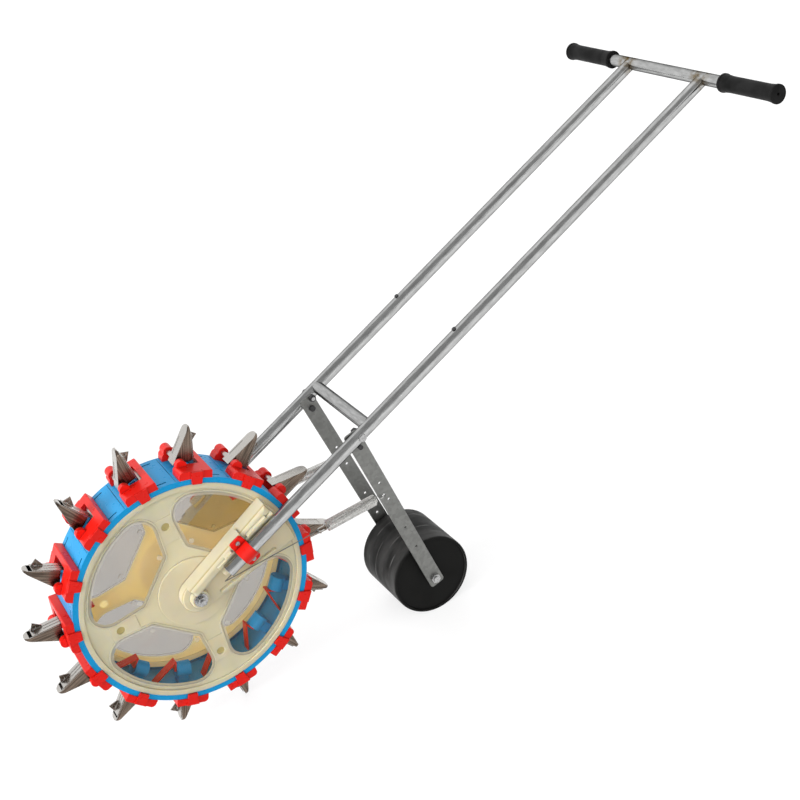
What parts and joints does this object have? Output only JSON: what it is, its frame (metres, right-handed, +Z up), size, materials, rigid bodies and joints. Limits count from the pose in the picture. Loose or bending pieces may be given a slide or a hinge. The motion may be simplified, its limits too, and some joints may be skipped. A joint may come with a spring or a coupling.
{
  "type": "walk-behind seed planter",
  "caption": "Push seed planter: a drum wheel with sprung duckbill beaks on a tube handle, and a sprung press roller that follows it.",
  "frame": {"origin": "floor point under the middle of the bounding box, with the planter standing on a beak and its roller", "axes": "+X to the operator, along the planter; +Y to the far side of the picture; +Z up"},
  "size_m": [1.601, 0.654, 0.8687],
  "materials": {
    "galvanised_tube": "galvanised, bright with fine drawn streaks",
    "black_grip": "satin",
    "cream_plastic": "satin moulded",
    "red_plastic": "gloss",
    "blue_plastic": "gloss",
    "clear_plastic": "clear gloss",
    "zinc_steel": "bright zinc",
    "black_steel": "black oxide",
    "beak_steel": "bright stamped",
    "bar_steel": "matt galvanised",
    "roller_plastic": "scuffed matt"
  },
  "bodies": {
    "frame": {"lower_tube_near": "galvanised_tube", "lower_tube_far": "galvanised_tube", "upper_tube_near": "galvanised_tube", "upper_tube_far": "galvanised_tube", "tube_sleeves": "galvanised_tube", "tube_joint_screws": "black_steel", "cross_tube": "galvanised_tube", "handlebar": "galvanised_tube", "grip_near": "black_grip", "grip_far": "black_grip", "arm_near": "cream_plastic", "arm_far": "cream_plastic", "clamp_near": "red_plastic", "clamp_far": "red_plastic", "clamp_screws": "zinc_steel", "axle": "zinc_steel", "axle_washers": "zinc_steel", "axle_nuts": "zinc_steel", "pivot_bolts": "zinc_steel", "pivot_nuts": "black_steel", "tie_wire_near": "zinc_steel", "tie_wire_far": "zinc_steel", "spring_near": "zinc_steel", "spring_far": "zinc_steel"},
    "drum": {"side_plate_near": "cream_plastic", "side_plate_far": "cream_plastic", "window_covers_near": "clear_plastic", "window_covers_far": "clear_plastic", "hub_tube": "cream_plastic", "rim_segments": "blue_plastic", "seed_tongues": "red_plastic", "beak_seats": "red_plastic", "hinge_pins": "zinc_steel", "fixed_beaks": "beak_steel"},
    "beak_01": {"beak_01": "beak_steel"},
    "beak_02": {"beak_02": "beak_steel"},
    "beak_03": {"beak_03": "beak_steel"},
    "beak_04": {"beak_04": "beak_steel"},
    "beak_05": {"beak_05": "beak_steel"},
    "beak_06": {"beak_06": "beak_steel"},
    "beak_07": {"beak_07": "beak_steel"},
    "beak_08": {"beak_08": "beak_steel"},
    "beak_09": {"beak_09": "beak_steel"},
    "beak_10": {"beak_10": "beak_steel"},
    "beak_11": {"beak_11": "beak_steel"},
    "beak_12": {"beak_12": "beak_steel"},
    "beak_13": {"beak_13": "beak_steel"},
    "beak_14": {"beak_14": "beak_steel"},
    "roller_hanger": {"roller_arm_near": "bar_steel", "roller_arm_far": "bar_steel", "stop_bolts": "black_steel", "roller_axle": "zinc_steel", "roller_axle_nuts": "zinc_steel"},
    "roller": {"roller_shell": "roller_plastic", "roller_end_near": "roller_plastic", "roller_end_far": "roller_plastic"}
  },
  "joints": [
    {"name": "drum_spin", "type": "hinge", "parent": "frame", "child": "drum", "pos_m": [-0.49085, 0, 0.31167], "axis": [0, 1, 0], "continuous": true},
    {"name": "beak_01_hinge", "type": "hinge", "parent": "drum", "child": "beak_01", "pos_m": [-0.53194, 0, 0.55513], "axis": [0, -1, 0], "range_deg": [0, 20], "stiffness_Nm_per_rad": 0.6, "springref_deg": -28.65},
    {"name": "beak_02_hinge", "type": "hinge", "parent": "drum", "child": "beak_02", "pos_m": [-0.42224, 0, 0.54884], "axis": [0, -1, 0], "range_deg": [0, 20], "stiffness_Nm_per_rad": 0.6, "springref_deg": -28.65},
    {"name": "beak_03_hinge", "type": "hinge", "parent": "drum", "child": "beak_03", "pos_m": [-0.32613, 0, 0.49559], "axis": [0, -1, 0], "range_deg": [0, 20], "stiffness_Nm_per_rad": 0.6, "springref_deg": -28.65},
    {"name": "beak_04_hinge", "type": "hinge", "parent": "drum", "child": "beak_04", "pos_m": [-0.26265, 0, 0.4059], "axis": [0, -1, 0], "range_deg": [0, 20], "stiffness_Nm_per_rad": 0.6, "springref_deg": -28.65},
    {"name": "beak_05_hinge", "type": "hinge", "parent": "drum", "child": "beak_05", "pos_m": [-0.24436, 0, 0.29756], "axis": [0, -1, 0], "range_deg": [0, 20], "stiffness_Nm_per_rad": 0.6, "springref_deg": -28.65},
    {"name": "beak_06_hinge", "type": "hinge", "parent": "drum", "child": "beak_06", "pos_m": [-0.2749, 0, 0.19201], "axis": [0, -1, 0], "range_deg": [0, 20], "stiffness_Nm_per_rad": 0.6, "springref_deg": -28.65},
    {"name": "beak_07_hinge", "type": "hinge", "parent": "drum", "child": "beak_07", "pos_m": [-0.3482, 0, 0.11016], "axis": [0, -1, 0], "range_deg": [0, 20], "stiffness_Nm_per_rad": 0.6, "springref_deg": -28.65},
    {"name": "beak_08_hinge", "type": "hinge", "parent": "drum", "child": "beak_08", "pos_m": [-0.44977, 0, 0.06822], "axis": [0, -1, 0], "range_deg": [0, 20], "stiffness_Nm_per_rad": 0.6, "springref_deg": -28.65},
    {"name": "beak_09_hinge", "type": "hinge", "parent": "drum", "child": "beak_09", "pos_m": [-0.55946, 0, 0.07451], "axis": [0, -1, 0], "range_deg": [0, 20], "stiffness_Nm_per_rad": 0.6, "springref_deg": -28.65},
    {"name": "beak_10_hinge", "type": "hinge", "parent": "drum", "child": "beak_10", "pos_m": [-0.65557, 0, 0.12776], "axis": [0, -1, 0], "range_deg": [0, 20], "stiffness_Nm_per_rad": 0.6, "springref_deg": -28.65},
    {"name": "beak_11_hinge", "type": "hinge", "parent": "drum", "child": "beak_11", "pos_m": [-0.71906, 0, 0.21744], "axis": [0, -1, 0], "range_deg": [0, 20], "stiffness_Nm_per_rad": 0.6, "springref_deg": -28.65},
    {"name": "beak_12_hinge", "type": "hinge", "parent": "drum", "child": "beak_12", "pos_m": [-0.73734, 0, 0.32579], "axis": [0, -1, 0], "range_deg": [0, 20], "stiffness_Nm_per_rad": 0.6, "springref_deg": -28.65},
    {"name": "beak_13_hinge", "type": "hinge", "parent": "drum", "child": "beak_13", "pos_m": [-0.70681, 0, 0.43134], "axis": [0, -1, 0], "range_deg": [0, 20], "stiffness_Nm_per_rad": 0.6, "springref_deg": -28.65},
    {"name": "beak_14_hinge", "type": "hinge", "parent": "drum", "child": "beak_14", "pos_m": [-0.6335, 0, 0.51319], "axis": [0, -1, 0], "range_deg": [0, 20], "stiffness_Nm_per_rad": 0.6, "springref_deg": -28.65},
    {"name": "roller_hanger_swing", "type": "hinge", "parent": "frame", "child": "roller_hanger", "pos_m": [-0.10681, 0, 0.48473], "axis": [0, -1, 0], "range_deg": [0, 25], "stiffness_Nm_per_rad": 22, "springref_deg": -17.19, "deforming": ["spring_near", "spring_far"]},
    {"name": "roller_spin", "type": "hinge", "parent": "roller_hanger", "child": "roller", "pos_m": [-0.035, 0, 0.085], "axis": [0, 1, 0], "continuous": true}
  ]
}
